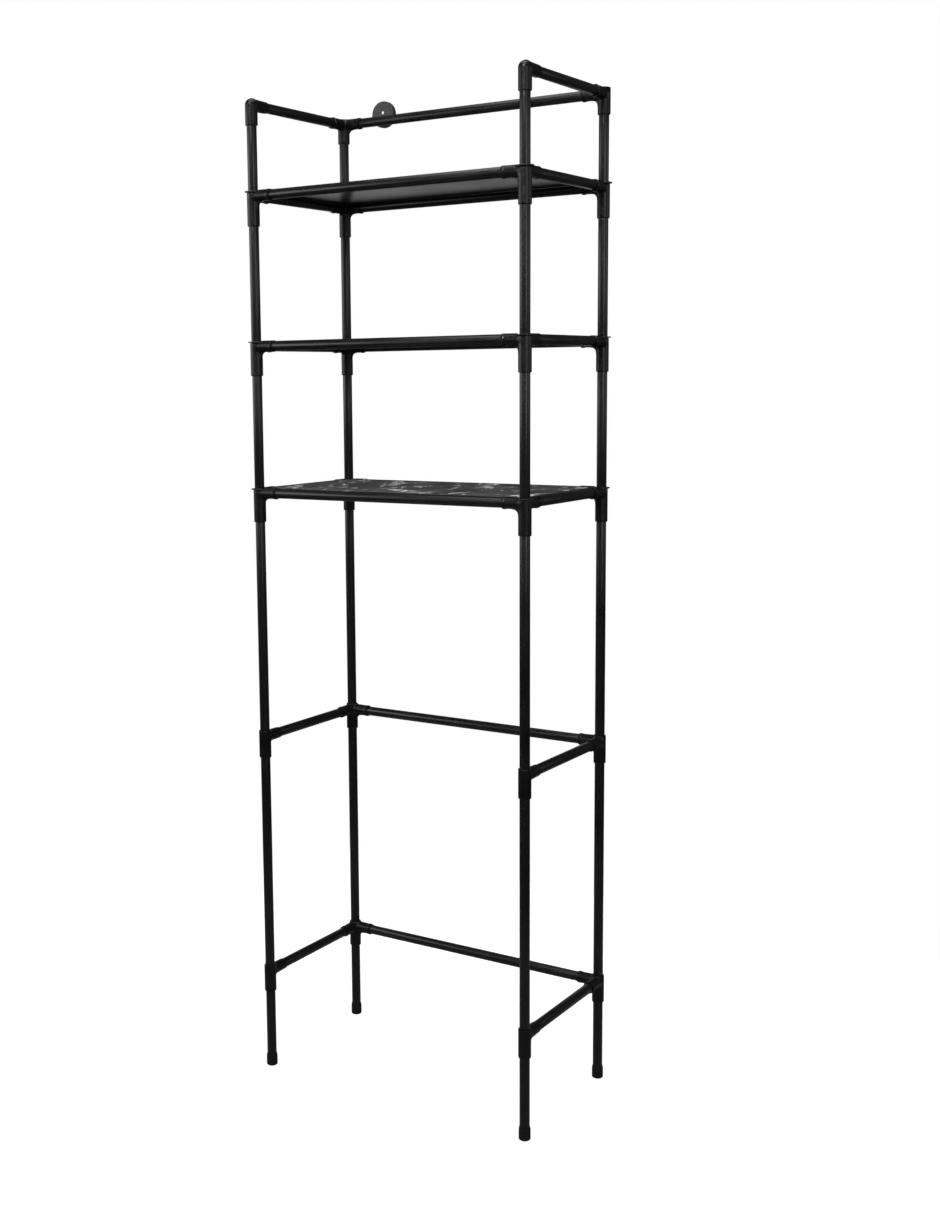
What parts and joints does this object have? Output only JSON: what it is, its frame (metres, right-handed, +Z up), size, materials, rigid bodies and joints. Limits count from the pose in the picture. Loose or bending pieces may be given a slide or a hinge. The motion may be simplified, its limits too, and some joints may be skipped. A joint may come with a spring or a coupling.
{
  "type": "over the toilet storage rack",
  "caption": "Tall open tube rack that straddles a toilet, with thin shelf boards above, cross rails at the back and sides, foot caps and a wall disc.",
  "frame": {"origin": "on the floor, midway between the four posts", "axes": "+X to the right seen from the front, +Y from the front towards the wall, +Z up"},
  "size_m": [0.49, 0.265, 1.541],
  "materials": {
    "coated_tube": "semi-gloss black powder coat",
    "connector_plastic": "satin black moulded plastic",
    "marble_board": "black marble print with white veins, satin",
    "foot_rubber": "matte black",
    "disc_plastic": "matte dark grey"
  },
  "bodies": {
    "root": {"post_front_left": "coated_tube", "foot_cap_front_left": "foot_rubber", "post_front_right": "coated_tube", "foot_cap_front_right": "foot_rubber", "post_rear_left": "coated_tube", "foot_cap_rear_left": "foot_rubber", "post_rear_right": "coated_tube", "foot_cap_rear_right": "foot_rubber", "top_elbow_front_left": "connector_plastic", "top_elbow_front_right": "connector_plastic", "top_corner_rear_left": "connector_plastic", "top_corner_rear_right": "connector_plastic", "top_side_rail_left": "coated_tube", "top_side_rail_right": "coated_tube", "top_back_rail": "coated_tube", "upper_shelf_corner_front_left": "connector_plastic", "upper_shelf_corner_front_right": "connector_plastic", "upper_shelf_corner_rear_left": "connector_plastic", "upper_shelf_corner_rear_right": "connector_plastic", "upper_shelf_side_rail_left": "coated_tube", "upper_shelf_side_rail_right": "coated_tube", "upper_shelf_back_rail": "coated_tube", "upper_shelf_front_rail": "coated_tube", "upper_shelf_board": "marble_board", "middle_shelf_corner_front_left": "connector_plastic", "middle_shelf_corner_front_right": "connector_plastic", "middle_shelf_corner_rear_left": "connector_plastic", "middle_shelf_corner_rear_right": "connector_plastic", "middle_shelf_side_rail_left": "coated_tube", "middle_shelf_side_rail_right": "coated_tube", "middle_shelf_back_rail": "coated_tube", "middle_shelf_front_rail": "coated_tube", "middle_shelf_board": "marble_board", "lower_shelf_corner_front_left": "connector_plastic", "lower_shelf_corner_front_right": "connector_plastic", "lower_shelf_corner_rear_left": "connector_plastic", "lower_shelf_corner_rear_right": "connector_plastic", "lower_shelf_side_rail_left": "coated_tube", "lower_shelf_side_rail_right": "coated_tube", "lower_shelf_back_rail": "coated_tube", "lower_shelf_front_rail": "coated_tube", "lower_shelf_board": "marble_board", "middle_leg_tee_front_left": "connector_plastic", "middle_leg_tee_front_right": "connector_plastic", "middle_leg_corner_rear_left": "connector_plastic", "middle_leg_corner_rear_right": "connector_plastic", "middle_leg_side_rail_left": "coated_tube", "middle_leg_side_rail_right": "coated_tube", "middle_leg_back_rail": "coated_tube", "low_leg_tee_front_left": "connector_plastic", "low_leg_tee_front_right": "connector_plastic", "low_leg_corner_rear_left": "connector_plastic", "low_leg_corner_rear_right": "connector_plastic", "low_leg_side_rail_left": "coated_tube", "low_leg_side_rail_right": "coated_tube", "low_leg_back_rail": "coated_tube", "wall_disc": "disc_plastic"}
  },
  "joints": []
}
